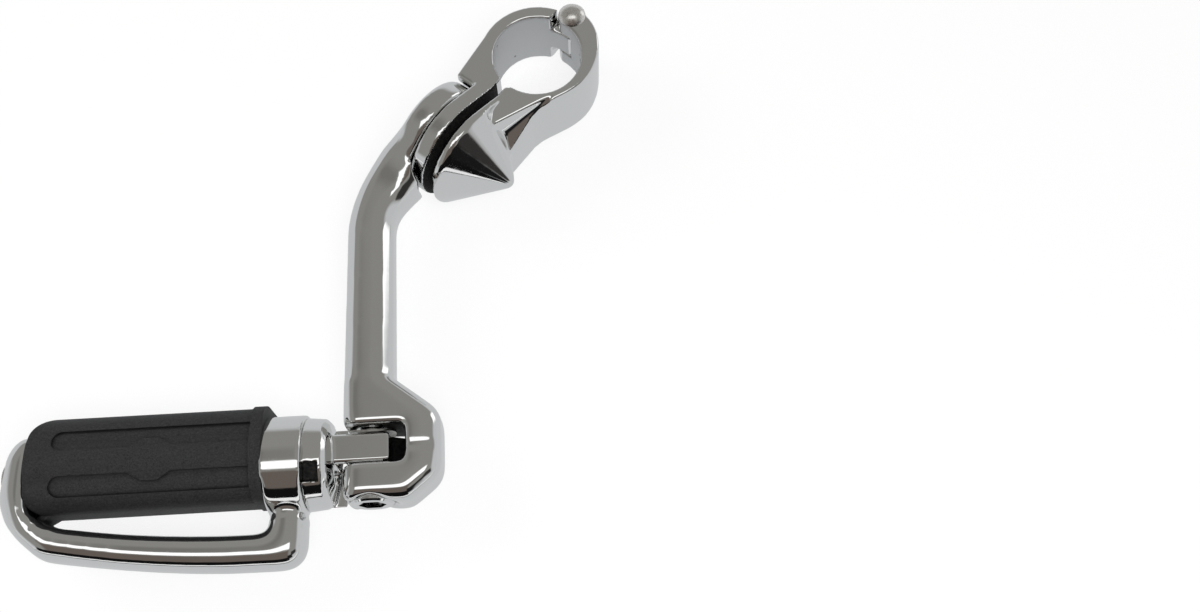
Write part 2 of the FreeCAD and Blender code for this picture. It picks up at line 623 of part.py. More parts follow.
def pad_section(x, grow):
    # crowned section of the rubber with round corners, in the plane across the peg
    w = PAD_W / 2 + grow
    h = PAD_H / 2 + grow
    c = PAD_CORNER
    low = h - PAD_CROWN
    k = c * (1 - math.sqrt(0.5))

    def p(y, z):
        return Vec(x, PAD_Y + y, z)

    edges = []
    for sy, sz in ((1, 1), (1, -1), (-1, -1), (-1, 1)):
        if sy * sz > 0:
            start, end = p(sy * (w - c), sz * low), p(sy * w, sz * (low - c))
        else:
            start, end = p(sy * w, sz * (low - c)), p(sy * (w - c), sz * low)
        mid = p(sy * (w - k), sz * (low - k))
        edges.append(Part.Arc(start, mid, end).toShape())
        if sy * sz > 0:
            edges.append(Part.LineSegment(end, p(sy * w, -sz * (low - c))).toShape())
        else:
            edges.append(Part.Arc(end, p(0, sz * h), p(-sy * (w - c), sz * low)).toShape())
    return Part.Face(Part.Wire(edges))


def pad_groove(side):
    # long recess with one round end and a dip where the middle bulges into it
    x_in = PAD_START_X - PAD_GROOVE_START
    x_out = PAD_END_X + PAD_GROOVE_END
    x_mid = (x_in + x_out) / 2
    outer = PAD_GROOVE_Y + PAD_GROOVE_W / 2
    inner = PAD_GROOVE_Y - PAD_GROOVE_W / 2
    r = PAD_GROOVE_W / 2

    def p(x, y):
        return Vec(x, PAD_Y + PAD_GROOVE_SHIFT + side * y, 0)

    half = PAD_DIP_W / 2
    flat = PAD_DIP_FLAT / 2
    steps = [p(x_out + r, inner), p(x_mid - half, inner), p(x_mid - flat, inner + PAD_DIP),
             p(x_mid + flat, inner + PAD_DIP), p(x_mid + half, inner), p(x_in, inner), p(x_in, outer),
             p(x_out + r, outer)]
    edges = [Part.LineSegment(a, b).toShape() for a, b in zip(steps[:-1], steps[1:])]
    edges.append(Part.Arc(steps[-1], p(x_out, PAD_GROOVE_Y), steps[0]).toShape())
    return Part.Face(Part.Wire(edges))


def pad_plan():
    # upright prism that rounds the two outer corners of the rubber in plan
    far_y = PAD_Y + PAD_W / 2
    near_y = PAD_Y - PAD_W / 2
    block = Part.makeBox(PAD_L, PAD_W, 2 * PAD_H, Vec(PAD_END_X, near_y, -PAD_H))
    for y, radius in ((far_y, PAD_FAR_R), (near_y, PAD_NEAR_R)):
        corner = [e for e in block.Edges if e.CenterOfMass.distanceToPoint(Vec(PAD_END_X, y, 0)) < 0.01]
        block = block.makeFillet(radius, corner)
    return block


def rubber_pad():
    body = pad_section(PAD_END_X, 0).extrude(Vec(PAD_L, 0, 0))
    lip = pad_section(PAD_START_X - PAD_LIP_L, PAD_LIP_H).extrude(Vec(PAD_LIP_L, 0, 0))
    foot = Part.makeBox(PAD_FOOT_L, PAD_FOOT_DROP + 3, 2 * PAD_FOOT_HALF_H,
                        Vec(PAD_END_X + PAD_FOOT_IN, PAD_Y - PAD_W / 2 - PAD_FOOT_DROP, -PAD_FOOT_HALF_H))
    body = body.common(pad_plan()).fuse(lip).fuse(foot)
    inner = pad_section(PAD_END_X - 5, -PAD_GROOVE_DEPTH).extrude(Vec(PAD_L + 10, 0, 0))
    for side in (1, -1):
        for end in (1, -1):
            reach = Vec(0, 0, end * PAD_H)
            body = body.cut(pad_groove(side).extrude(reach).cut(inner))
    return body.cut(cylinder(Vec(PAD_END_X, PEG_Y, 0), X_AXIS, CORE_R + SEAT_GAP, PAD_L))


def oval(outer, inner, half_h):
    # rounded section of the casting between two points in plan
    across = (outer - inner) / 2
    centre = (outer + inner) / 2
    points = []
    for i in range(OVAL_SIDES):
        turn = 2 * math.pi * (i + 0.5) / OVAL_SIDES
        side, up = math.cos(turn), math.sin(turn)
        reach = (abs(side) ** OVAL_POWER + abs(up) ** OVAL_POWER) ** (-1 / OVAL_POWER)
        points.append(centre + across * (side * reach) + Z_AXIS * (half_h * up * reach))
    return Part.makePolygon(points + [points[0]])


def leg_stations():
    # outer point, inner point and half height of the casting, from the collar to the bar
    leg_in = LEG_OUTER_X - LEG_W
    bar_in = BAR_OUTER_Y + BAR_W
    stations = [(Vec(LEG_OUTER_X, PEG_Y - SPIGOT_R, 0), Vec(leg_in, PEG_Y - SPIGOT_R, 0), FRAME_HALF_H)]
    for step in range(5):
        turn = math.pi / 2 * step / 4
        back, down = 1 - math.cos(turn), 1 - math.sin(turn)
        outer = Vec(LEG_OUTER_X - BAR_CORNER_R * back, BAR_OUTER_Y + BAR_CORNER_R * down, 0)
        inner = Vec(leg_in - INNER_CORNER_R * back, bar_in + INNER_CORNER_R * down, 0)
        stations.append((outer, inner, FRAME_HALF_H))
    return stations


def bar_stations():
    # the bar rises and slims towards the cap
    start = LEG_OUTER_X - LEG_W - INNER_CORNER_R
    run = start - PAD_END_X
    bar_in = BAR_OUTER_Y + BAR_W
    stations = []
    for step in range(1, 7):
        share = step / 7
        rise = BAR_RISE * share ** 2
        x = start - run * share
        swell = CAP_SWELL * max(share - 0.6, 0)
        stations.append((Vec(x - rise * share, BAR_OUTER_Y + rise, 0),
                         Vec(x, bar_in + rise * INNER_RISE, 0), FRAME_HALF_H + swell))
    return stations


def cap_stations():
    # round the end of the rubber, wider than the wall so that the pocket leaves a flat inside
    near_y = PAD_Y - PAD_W / 2
    end_x = PAD_END_X - CAP_T
    deep = PAD_END_X + CAP_DEEP
    tip_y = PAD_Y + PAD_W / 2 - CAP_TIP_SET
    return [(Vec(end_x + CAP_T * 0.73, near_y - 7.4, 0), Vec(PAD_END_X + 4.5, near_y - 1.5, 0),
             CAP_HALF_H * 0.86),
            (Vec(end_x + CAP_T * 0.28, near_y - 2.2, 0), Vec(deep, near_y + 2.0, 0),
             CAP_HALF_H * 0.97),
            (Vec(end_x, near_y + 5.4, 0), Vec(deep, near_y + 6.0, 0), CAP_HALF_H),
            (Vec(end_x, PEG_Y, 0), Vec(deep, PEG_Y, 0), CAP_HALF_H),
            (Vec(end_x + 1.0, PEG_Y + 5.6, 0), Vec(deep, PEG_Y + 5.6, 0), CAP_HALF_H),
            (Vec(end_x + 3.0, PEG_Y + 10.0, 0), Vec(deep, PEG_Y + 10.0, 0), CAP_HALF_H * 0.93),
            (Vec(PAD_END_X - CAP_TIP_T, tip_y, 0), Vec(deep, tip_y, 0), CAP_HALF_H * 0.78)]


def rubber_room():
    # pocket for the rubber and its foot, with one round corner
    low = PAD_Y - PAD_W / 2 - PAD_FOOT_DROP - SEAT_GAP
    room = Part.makeBox(PAD_L, 3 * PAD_W, 4 * CAP_HALF_H, Vec(PAD_END_X, low, -2 * CAP_HALF_H))
    corner = [e for e in room.Edges if e.CenterOfMass.distanceToPoint(Vec(PAD_END_X, low, 0)) < 0.01]
    return room.makeFillet(POCKET_R, corner)


def peg_frame():
    # one casting: collar, inner leg, tapering bar and the cap over the outer end of the rubber
    stations = leg_stations() + bar_stations() + cap_stations()
    loop = Part.makeLoft([oval(outer, inner, half_h) for outer, inner, half_h in stations], True, True)
    loop = loop.cut(rubber_room())
    collar = cylinder(Vec(PAD_START_X, PEG_Y, 0), X_AXIS, COLLAR_R, COLLAR_L)
    body = loop.fuse(collar)
    body = body.cut(cylinder(Vec(COLLAR_X - SPIGOT_L, PEG_Y, 0), X_AXIS, SPIGOT_R + SEAT_GAP, SPIGOT_L))
    body = body.cut(cylinder(Vec(PAD_START_X, PEG_Y, 0), X_AXIS, CORE_R + SEAT_GAP, COLLAR_L - SPIGOT_L))
    head_x = PAD_END_X - CAP_FLOOR
    body = body.cut(cylinder(Vec(head_x, PEG_Y, 0), X_AXIS, PEG_BOLT_D / 2 + SEAT_GAP, CAP_T))
    body = body.cut(cylinder(Vec(CAP_END_X - 1, PEG_Y, 0), X_AXIS, PEG_WASHER_OD / 2 + BODY_GAP,
                             head_x - CAP_END_X + 1))
    key = notch_box(KEY_W - 2 * SEAT_GAP, KEY_L - SEAT_GAP, KEY_H - SEAT_GAP, -NOTCH_ANGLE)
    key = key.common(cylinder(Vec(COLLAR_X, PEG_Y, 0), X_AXIS, MOUNT_R, KEY_L))
    return body.fuse(key)


nodes = {
    "clamp_fixed_jaw": clamp_fixed_jaw,
    "clamp_swing_jaw": clamp_swing_jaw,
    "clamp_hinge_pin": clamp_hinge_pin,
    "clamp_bolt": clamp_bolt,
    "clamp_bolt_washer": clamp_bolt_washer,
    "clamp_lock_washer": clamp_lock_washer,
    "arm": arm,
    "clevis_bolt": clevis_bolt,
    "clevis_lock_screw": clevis_lock_screw,
    "clevis_wave_washer": clevis_wave_washer,
    "peg_mount": peg_mount,
    "peg_core": peg_core,
    "peg_bolt": peg_bolt,
    "peg_bolt_washer": peg_bolt_washer,
    "rubber_pad": rubber_pad,
    "peg_frame": peg_frame,
}
for node, make in nodes.items():
    save(make(), node)
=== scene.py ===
import json
import math

import bpy
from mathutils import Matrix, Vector

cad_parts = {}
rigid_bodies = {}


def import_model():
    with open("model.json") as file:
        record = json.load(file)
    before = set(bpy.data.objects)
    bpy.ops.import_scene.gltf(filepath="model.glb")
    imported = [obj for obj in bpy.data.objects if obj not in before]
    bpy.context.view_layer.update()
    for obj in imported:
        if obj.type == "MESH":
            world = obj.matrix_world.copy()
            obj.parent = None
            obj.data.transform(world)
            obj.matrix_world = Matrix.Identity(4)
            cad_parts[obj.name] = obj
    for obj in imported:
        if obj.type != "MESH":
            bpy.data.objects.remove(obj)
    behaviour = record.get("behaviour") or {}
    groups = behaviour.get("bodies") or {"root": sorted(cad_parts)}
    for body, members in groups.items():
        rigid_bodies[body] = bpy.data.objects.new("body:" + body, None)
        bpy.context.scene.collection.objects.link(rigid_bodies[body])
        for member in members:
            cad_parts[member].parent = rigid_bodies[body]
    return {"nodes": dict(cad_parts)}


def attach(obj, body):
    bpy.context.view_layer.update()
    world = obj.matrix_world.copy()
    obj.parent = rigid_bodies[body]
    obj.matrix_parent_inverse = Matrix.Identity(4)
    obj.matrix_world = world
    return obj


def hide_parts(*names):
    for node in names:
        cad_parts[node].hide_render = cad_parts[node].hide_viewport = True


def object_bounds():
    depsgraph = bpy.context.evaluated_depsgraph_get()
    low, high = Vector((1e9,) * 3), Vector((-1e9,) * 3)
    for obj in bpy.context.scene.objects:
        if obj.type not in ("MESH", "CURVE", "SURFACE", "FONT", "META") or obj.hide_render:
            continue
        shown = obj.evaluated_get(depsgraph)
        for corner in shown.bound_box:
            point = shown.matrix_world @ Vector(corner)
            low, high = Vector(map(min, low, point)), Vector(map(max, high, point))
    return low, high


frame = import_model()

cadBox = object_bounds()
nodes = frame["nodes"]

# the clamp's two directions, and sizes and places in metres
alongClamp = Vector((-0.643, -0.766, 0.0))     # from the hinge through the bore to the bolt
acrossClamp = Vector((0.766, -0.643, 0.0))     # from the arm's side to the spike
boreRadius = 0.01625    # the bore itself is 0.016, so this takes its wall in
pegAxisY = -0.1452


# helpers for node trees

def addNode(tree, kind, inputs=None, **settings):
    node = tree.nodes.new(kind)
    for name, value in settings.items():
        setattr(node, name, value)
    for name, value in (inputs or {}).items():
        node.inputs[name].default_value = value
    return node


def newMaterial(name, shaderValues):
    material = bpy.data.materials.new(name)
    material.use_nodes = True
    tree = material.node_tree
    shader = tree.nodes["Principled BSDF"]
    for socket, value in shaderValues.items():
        shader.inputs[socket].default_value = value
    return material, tree, shader


def objectCoords(tree, scale=(1, 1, 1)):
    coords = addNode(tree, "ShaderNodeTexCoord")
    mapping = addNode(tree, "ShaderNodeMapping", {"Scale": scale})
    tree.links.new(coords.outputs["Object"], mapping.inputs["Vector"])
    return mapping.outputs["Vector"]


def noise(tree, vector, scale, detail, roughness=0.5):
    settings = {"Scale": scale, "Detail": detail, "Roughness": roughness}
    node = addNode(tree, "ShaderNodeTexNoise", settings)
    tree.links.new(vector, node.inputs["Vector"])
    return node.outputs["Fac"]


def remap(tree, value, low, high, outLow, outHigh):
    settings = {"From Min": low, "From Max": high, "To Min": outLow, "To Max": outHigh}
    node = addNode(tree, "ShaderNodeMapRange", settings)
    tree.links.new(value, node.inputs["Value"])
    return node.outputs["Result"]


def setOrLink(tree, socket, value):
    if hasattr(value, "default_value"):
        tree.links.new(value, socket)
    else:
        socket.default_value = value


def math2(tree, operation, a, b):
    node = addNode(tree, "ShaderNodeMath", operation=operation)
    setOrLink(tree, node.inputs[0], a)
    setOrLink(tree, node.inputs[1], b)
    return node.outputs["Value"]


def mixColours(tree, factor, a, b):
    node = addNode(tree, "ShaderNodeMix", data_type="RGBA")
    setOrLink(tree, node.inputs[0], factor)
    setOrLink(tree, node.inputs[6], a)
    setOrLink(tree, node.inputs[7], b)
    return node.outputs[2]


def mixShaders(tree, factor, a, b):
    node = addNode(tree, "ShaderNodeMixShader")
    setOrLink(tree, node.inputs[0], factor)
    tree.links.new(a, node.inputs[1])
    tree.links.new(b, node.inputs[2])
    return node.outputs[0]


def twoTones(tree, pattern, look):
    # dark where the pattern is low, light where it is high
    share = remap(tree, pattern, *look["toneSpread"], 0, 1)
    return mixColours(tree, share, look["dark"], look["light"])


def roughFrom(tree, shader, pattern, look):
    # smooth where the pattern is low, rougher where it is high
    rough = remap(tree, pattern, *look["roughSpread"], *look["rough"])
    tree.links.new(rough, shader.inputs["Roughness"])


def addBump(tree, shader, height, look):
    strength, distance = look["bump"]
    bump = addNode(tree, "ShaderNodeBump", {"Strength": strength, "Distance": distance})
    tree.links.new(height, bump.inputs["Height"])
    tree.links.new(bump.outputs["Normal"], shader.inputs["Normal"])


# materials. Each spread is the part of a pattern's values that is used,
# and each bump is its strength and its height in metres

chromeLook = {"colour": (0.83, 0.835, 0.83, 1), "hazeScale": 420, "roughSpread": (0.35, 0.75),
              "rough": (0.035, 0.11), "waveScale": 95, "bump": (0.5, 0.00009)}


def chromeMaterial():
    look = chromeLook
    values = {"Base Color": look["colour"], "Metallic": 1.0}
    material, tree, shader = newMaterial("polishedChrome", values)
    vector = objectCoords(tree)
    roughFrom(tree, shader, noise(tree, vector, look["hazeScale"], 6), look)
    addBump(tree, shader, noise(tree, vector, look["waveScale"], 2, 0.4), look)
    return material


castLook = {"light": (0.62, 0.63, 0.64, 1), "dark": (0.2, 0.2, 0.2, 1), "metallic": 0.75,
            "rough": 0.42, "pitScale": 260, "pitSize": 0.26, "patchScale": 120,
            "patchSpread": (0.52, 0.72), "grainScale": 2200, "bump": (0.35, 0.00008)}


def castChromeMaterial():
    # plated but unpolished casting inside the bore, with patches of small pits
    look = castLook
    values = {"Metallic": look["metallic"], "Roughness": look["rough"]}
    material, tree, shader = newMaterial("castChrome", values)
    vector = objectCoords(tree)
    cells = addNode(tree, "ShaderNodeTexVoronoi", {"Scale": look["pitScale"], "Randomness": 1.0})
    tree.links.new(vector, cells.inputs["Vector"])
    patches = noise(tree, vector, look["patchScale"], 2)
    size = remap(tree, patches, *look["patchSpread"], 0.0, look["pitSize"])
    pit = math2(tree, "LESS_THAN", cells.outputs["Distance"], size)
    tree.links.new(mixColours(tree, pit, look["light"], look["dark"]), shader.inputs["Base Color"])
    grain = noise(tree, vector, look["grainScale"], 3)
    addBump(tree, shader, math2(tree, "SUBTRACT", grain, pit), look)
    return material


spikeLook = {"tip": (0.003, -0.0525, 0.0), "length": 0.0165, "radius": 0.0198, "facing": 0.35,
             "markScale": 9.0, "markStretch": 12.0, "roughSpread": (0.35, 0.7),
             "rough": (0.06, 0.16), "bump": (0.6, 0.00003)}


def turnedChromeMaterial():
    # chrome over fine marks that run from the spike's foot to its tip
    look = spikeLook
    values = {"Base Color": chromeLook["colour"], "Metallic": 1.0}
    material, tree, shader = newMaterial("turnedChrome", values)
    coords = addNode(tree, "ShaderNodeTexCoord")
    turn = math.atan2(acrossClamp.y, acrossClamp.x)
    centred = addNode(tree, "ShaderNodeMapping",
                      {"Location": look["tip"], "Rotation": (0, 0, turn)}, vector_type="TEXTURE")
    tree.links.new(coords.outputs["Object"], centred.inputs["Vector"])
    split = addNode(tree, "ShaderNodeSeparateXYZ")
    tree.links.new(centred.outputs["Vector"], split.inputs[0])
    around = math2(tree, "ARCTAN2", split.outputs["Y"], split.outputs["Z"])
    along = math2(tree, "MULTIPLY", split.outputs["X"], look["markStretch"])
    line = addNode(tree, "ShaderNodeCombineXYZ")
    tree.links.new(around, line.inputs["X"])
    tree.links.new(along, line.inputs["Y"])
    marks = noise(tree, line.outputs["Vector"], look["markScale"], 8, 0.75)
    roughFrom(tree, shader, marks, look)
    addBump(tree, shader, marks, look)
    return material


recessLook = {"light": (0.030, 0.029, 0.028, 1), "dark": (0.008, 0.008, 0.008, 1),
              "toneSpread": (0.35, 0.65), "roughSpread": (0.3, 0.7), "rough": (0.5, 0.7),
              "metallic": 0.4, "specular": 0.2, "grainScale": 900, "bump": (0.4, 0.0001)}


def recessMaterial():
    # unpolished faces deep between two pieces, where the plating is thin and dull, coloured nearly
    # black as painted shade for the shadow that falls between them
    look = recessLook
    values = {"Metallic": look["metallic"], "Specular IOR Level": look["specular"]}
    material, tree, shader = newMaterial("shadedRecess", values)
    grain = noise(tree, objectCoords(tree), look["grainScale"], 5)
    tree.links.new(twoTones(tree, grain, look), shader.inputs["Base Color"])
    roughFrom(tree, shader, grain, look)
    addBump(tree, shader, grain, look)
    return material


pinLook = {"light": (0.92, 0.90, 0.87, 1), "dark": (0.80, 0.78, 0.75, 1),
           "toneSpread": (0.35, 0.65), "roughSpread": (0.3, 0.7), "rough": (0.24, 0.34),
           "streakScale": 1500, "streakStretch": (1, 1, 0.2), "bump": (0.15, 0.00002)}


def pinMaterial():
    look = pinLook
    material, tree, shader = newMaterial("satinPin", {"Metallic": 1.0})
    vector = objectCoords(tree, look["streakStretch"])
    streaks = noise(tree, vector, look["streakScale"], 5)
    roughFrom(tree, shader, streaks, look)
    tree.links.new(twoTones(tree, streaks, look), shader.inputs["Base Color"])
    addBump(tree, shader, streaks, look)
    return material


steelLook = {"light": (0.62, 0.62, 0.6, 1), "dark": (0.42, 0.41, 0.38, 1),
             "toneSpread": (0.35, 0.65), "roughSpread": (0.3, 0.7), "rough": (0.25, 0.45),
             "stainScale": 330, "grainScale": 1500, "bump": (0.2, 0.00004)}


def steelMaterial():
    look = steelLook
    material, tree, shader = newMaterial("zincPlatedSteel", {"Metallic": 1.0})
    vector = objectCoords(tree)
    stains = noise(tree, vector, look["stainScale"], 6)
    roughFrom(tree, shader, stains, look)
    tree.links.new(twoTones(tree, stains, look), shader.inputs["Base Color"])
    addBump(tree, shader, noise(tree, vector, look["grainScale"], 3), look)
    return material


rubberLook = {"light": (0.030, 0.030, 0.031, 1), "dark": (0.009, 0.009, 0.010, 1),
              "toneSpread": (0.3, 0.7), "mottleScale": 2100, "specular": 0.45,
              "roughSpread": (0.3, 0.7), "rough": (0.52, 0.72), "grainScale": 2600,
              "bump": (0.6, 0.00012), "grooveShade": (0.002, 0.002, 0.002, 1),
              "grooveShadeReach": 0.0016, "grooveShadeSpread": (0.45, 0.85)}


def rubberMaterial():
    look = rubberLook
    material, tree, shader = newMaterial("mouldedRubber", {"Specular IOR Level": look["specular"]})
    vector = objectCoords(tree)
    grain = noise(tree, vector, look["grainScale"], 4, 0.7)
    colour = twoTones(tree, noise(tree, vector, look["mottleScale"], 3), look)
    # painted shade: the rubber's colour darkens to near black in its grooves and corners, where
    # the ambient occlusion node finds shade
    corners = addNode(tree, "ShaderNodeAmbientOcclusion", {"Distance": look["grooveShadeReach"]},
                      samples=4)
    grooveShadeShare = remap(tree, corners.outputs["AO"], *look["grooveShadeSpread"], 1, 0)
    tree.links.new(mixColours(tree, grooveShadeShare, colour, look["grooveShade"]), shader.inputs["Base Color"])
    roughFrom(tree, shader, grain, look)
    addBump(tree, shader, grain, look)
    return material


chrome = chromeMaterial()
castChrome = castChromeMaterial()
turnedChrome = turnedChromeMaterial()
shadedRecess = recessMaterial()
satinPin = pinMaterial()
zincSteel = steelMaterial()
rubber = rubberMaterial()
print("materials made")


# pieces

mergeDistance = 0.00001


def mergedCopy(node, name, body, materials):
    # own copy of a CAD solid with its loose triangles joined, standing in for that solid
    piece = nodes[node].copy()
    piece.data = nodes[node].data.copy()
    piece.name = name
    piece.data.name = name
    piece.parent = None
    for key in list(piece.keys()):
        del piece[key]
    bpy.context.scene.collection.objects.link(piece)
    piece.data.materials.clear()
    for material in materials:
        piece.data.materials.append(material)
    bpy.ops.object.select_all(action="DESELECT")
    piece.select_set(True)
    bpy.context.view_layer.objects.active = piece
    bpy.ops.object.mode_set(mode="EDIT")
    bpy.ops.mesh.select_all(action="SELECT")
    bpy.ops.mesh.remove_doubles(threshold=mergeDistance)
    bpy.ops.object.mode_set(mode="OBJECT")
    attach(piece, body)
    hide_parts(node)
    return piece


def applyModifier(piece, kind, **settings):
    modifier = piece.modifiers.new("finish", kind)
    for key, value in settings.items():
        setattr(modifier, key, value)
    bpy.ops.object.modifier_apply(modifier=modifier.name)


def smoothPiece(piece, passes, group=""):
    applyModifier(piece, "SMOOTH", factor=0.5, iterations=passes, vertex_group=group)


def paintFaces(piece, slotNumber, chosen):
    for face in piece.data.polygons:
        if chosen(face.center, face.normal):
            face.material_index = slotNumber


def makeCasting(look, painted):
    # polished by hand: each edge is worn round and each corner blended
    materials = [chrome] + [finish for chosen, finish in painted]
    piece = mergedCopy(look["node"], look["name"], look["body"], materials)
    applyModifier(piece, "REMESH", mode="VOXEL", voxel_size=look["voxel"], adaptivity=0.0)
    smoothPiece(piece, look["polish"])
    bpy.ops.object.shade_smooth()
    for number, (chosen, finish) in enumerate(painted, start=1):
        paintFaces(piece, number, chosen)
    print(look["name"], len(piece.data.polygons), "faces")
    return piece


# the clamp's jaws: unpolished in the bore, and dull with painted shade, nearly black, where the
# ears face each other

fixedJaw = {"name": "fixedJaw", "node": "clamp_fixed_jaw", "body": "root",
            "voxel": 0.0004, "polish": 30, "earFace": -0.0045}
swingJaw = {"name": "swingJaw", "node": "clamp_swing_jaw", "body": "swing_jaw",
            "voxel": 0.0004, "polish": 30, "earFace": -0.0012}
earFaces = {"start": 0.018, "skin": 0.0007, "facing": 0.7}


def inBore(centre, normal):
    return math.hypot(centre.x, centre.y) < boreRadius


def onEarFace(centre, normal, faceAt, side):
    near = abs(centre.dot(acrossClamp) - faceAt) < earFaces["skin"]
    square = normal.dot(acrossClamp) * side > earFaces["facing"]
    return near and square and centre.dot(alongClamp) > earFaces["start"]


def fixedEarFace(centre, normal):
    return onEarFace(centre, normal, fixedJaw["earFace"], 1)


def swingEarFace(centre, normal):
    return onEarFace(centre, normal, swingJaw["earFace"], -1)


def onSpike(centre, normal):
    look = spikeLook
    tip = Vector(look["tip"])
    back = (tip - centre).dot(acrossClamp)
    away = (centre - tip + acrossClamp * back).length
    facing = normal.dot(acrossClamp) > look["facing"]
    return 0 <= back < look["length"] and away < look["radius"] and facing


makeCasting(fixedJaw, [(inBore, castChrome), (fixedEarFace, shadedRecess)])
makeCasting(swingJaw, [(inBore, castChrome), (swingEarFace, shadedRecess), (onSpike, turnedChrome)])


# the arm, dull with painted shade, nearly black, at the blind end of its clevis slot

armCasting = {"name": "armCasting", "node": "arm", "body": "arm", "voxel": 0.00045, "polish": 120,
              "slotX": (-0.0565, -0.0485), "slotY": (-0.1478, -0.1346), "slotHalfZ": 0.0093}


def slotEnd(centre, normal):
    look = armCasting
    lowX, highX = look["slotX"]
    lowY, highY = look["slotY"]
    inside = lowX < centre.x < highX and lowY < centre.y < highY
    return inside and abs(centre.z) < look["slotHalfZ"]


makeCasting(armCasting, [(slotEnd, shadedRecess)])


# the peg's base, dull with painted shade, nearly black, in the square notch that points up and
# towards the stirrup's bar

pegMount = {"name": "pegMount", "node": "peg_mount", "body": "peg", "voxel": 0.0004, "polish": 5,
            "notchWay": (-0.391, 0.921), "notchX": (-0.0819, -0.0761),
            "notchUp": (0.0115, 0.0149), "notchHalfWidth": 0.0034}


def mountNotch(centre, normal):
    look = pegMount
    wayY, wayZ = look["notchWay"]
    lowX, highX = look["notchX"]
    lowUp, highUp = look["notchUp"]
    up = (centre.y - pegAxisY) * wayY + centre.z * wayZ
    side = (centre.y - pegAxisY) * wayZ - centre.z * wayY
    inside = lowX < centre.x < highX and lowUp < up < highUp
    return inside and abs(side) < look["notchHalfWidth"]


makeCasting(pegMount, [(mountNotch, shadedRecess)])


# the stirrup

stirrup = {"name": "stirrup", "node": "peg_frame", "body": "peg", "voxel": 0.00045, "polish": 10,
           "rootLow": (-0.0975, -0.172), "rootHigh": (-0.072, -0.1515), "rootBlend": 0.003,
           "rootPasses": 90, "sweepFromY": -0.1615, "sweepFromX": -0.166, "sweepBlend": 0.0025,
           "sweepPasses": 220, "swell": 0.0008, "lastPasses": 4}


def groupVertices(piece, name, depth, blend):
    # full weight a blend width inside the border, none outside it
    group = piece.vertex_groups.new(name=name)
    for vertex in piece.data.vertices:
        share = min(1.0, depth(vertex.co) / blend)
        if share > 0:
            group.add([vertex.index], share, "REPLACE")


def rootDepth(co):
    low, high = stirrup["rootLow"], stirrup["rootHigh"]
    return min(co.x - low[0], high[0] - co.x, co.y - low[1], high[1] - co.y)


def sweepDepth(co):
    return max(stirrup["sweepFromY"] - co.y, stirrup["sweepFromX"] - co.x)


def softenStirrup(piece):
    # the leg grows out of the collar, and the bar runs into the cap in one soft sweep
    look = stirrup
    groupVertices(piece, "root", rootDepth, look["rootBlend"])
    groupVertices(piece, "sweep", sweepDepth, look["sweepBlend"])
    smoothPiece(piece, look["rootPasses"], "root")
    smoothPiece(piece, look["sweepPasses"], "sweep")
    applyModifier(piece, "DISPLACE", strength=look["swell"], mid_level=0.0, vertex_group="sweep")
    smoothPiece(piece, look["lastPasses"])


softenStirrup(makeCasting(stirrup, []))


# the rubber: its end lip is taller than the collar, and its foot reaches past the bar's corner

sleeveLook = {"flatAngle": 0.5, "endX": -0.0949, "boreReach": 0.0095, "middleY": -0.1422,
              "lipOver": 0.0006, "lipY": 0.95, "lipZ": 1.17, "footX": -0.1652,
              "footHalfX": 0.0023, "footBelowY": -0.1585, "footShift": -0.0036,
              "edge": 0.0007, "edgeSegments": 3, "sharpAngle": 28, "smoothAngle": 40}


def pickVertices(piece, chosen):
    # selects the vertices that the test accepts, in edit mode
    bpy.ops.mesh.select_all(action="DESELECT")
    bpy.ops.object.mode_set(mode="OBJECT")
    for vertex in piece.data.vertices:
        vertex.select = chosen(vertex.co)
    bpy.ops.object.mode_set(mode="EDIT")


def dropVertices(piece, chosen):
    # takes the vertices that the test accepts out of the selection
    bpy.ops.object.mode_set(mode="OBJECT")
    for vertex in piece.data.vertices:
        vertex.select = vertex.select and not chosen(vertex.co)
    bpy.ops.object.mode_set(mode="EDIT")


def fromPegAxis(co):
    return math.hypot(co.y - pegAxisY, co.z)


def onSleeveEnd(co):
    return co.x > sleeveLook["endX"] and fromPegAxis(co) > sleeveLook["boreReach"]


def onSleeveBore(co):
    return fromPegAxis(co) < sleeveLook["boreReach"]


def onSleeveFoot(co):
    look = sleeveLook
    return co.y < look["footBelowY"] and abs(co.x - look["footX"]) < look["footHalfX"]


def makeSleeve():
    look = sleeveLook
    sleeve = mergedCopy("rubber_pad", "rubberSleeve", "peg", [rubber])
    bpy.ops.object.mode_set(mode="EDIT")
    bpy.ops.mesh.select_all(action="SELECT")
    bpy.ops.mesh.dissolve_limited(angle_limit=math.radians(look["flatAngle"]))
    pickVertices(sleeve, onSleeveEnd)
    bpy.ops.transform.translate(value=(look["lipOver"], 0, 0))
    bpy.ops.mesh.select_more(use_face_step=False)
    dropVertices(sleeve, onSleeveBore)
    bpy.ops.transform.resize(value=(1, look["lipY"], look["lipZ"]),
                             center_override=(0, look["middleY"], 0))
    pickVertices(sleeve, onSleeveFoot)
    bpy.ops.transform.translate(value=(look["footShift"], 0, 0))
    bpy.ops.object.mode_set(mode="OBJECT")
    applyModifier(sleeve, "BEVEL", width=look["edge"], segments=look["edgeSegments"],
                  limit_method="ANGLE", angle_limit=math.radians(look["sharpAngle"]),
                  harden_normals=True)
    bpy.ops.object.shade_smooth_by_angle(angle=math.radians(look["smoothAngle"]))
    print("rubberSleeve", len(sleeve.data.polygons), "faces")


makeSleeve()


# bolts, washers, the hinge pin and the core keep their CAD solids

fasteners = {
    "clamp_bolt": chrome, "clevis_bolt": chrome, "clamp_hinge_pin": satinPin,
    "clamp_bolt_washer": zincSteel, "clamp_lock_washer": zincSteel,
    "clevis_wave_washer": zincSteel, "clevis_lock_screw": zincSteel,
    "peg_bolt": zincSteel, "peg_bolt_washer": zincSteel, "peg_core": zincSteel,
}
for node, material in fasteners.items():
    nodes[node].data.materials.clear()
    nodes[node].data.materials.append(material)
print("fasteners finished")


# stage. Metal sees the floor grey near the part, dark across the seam and pale beyond it

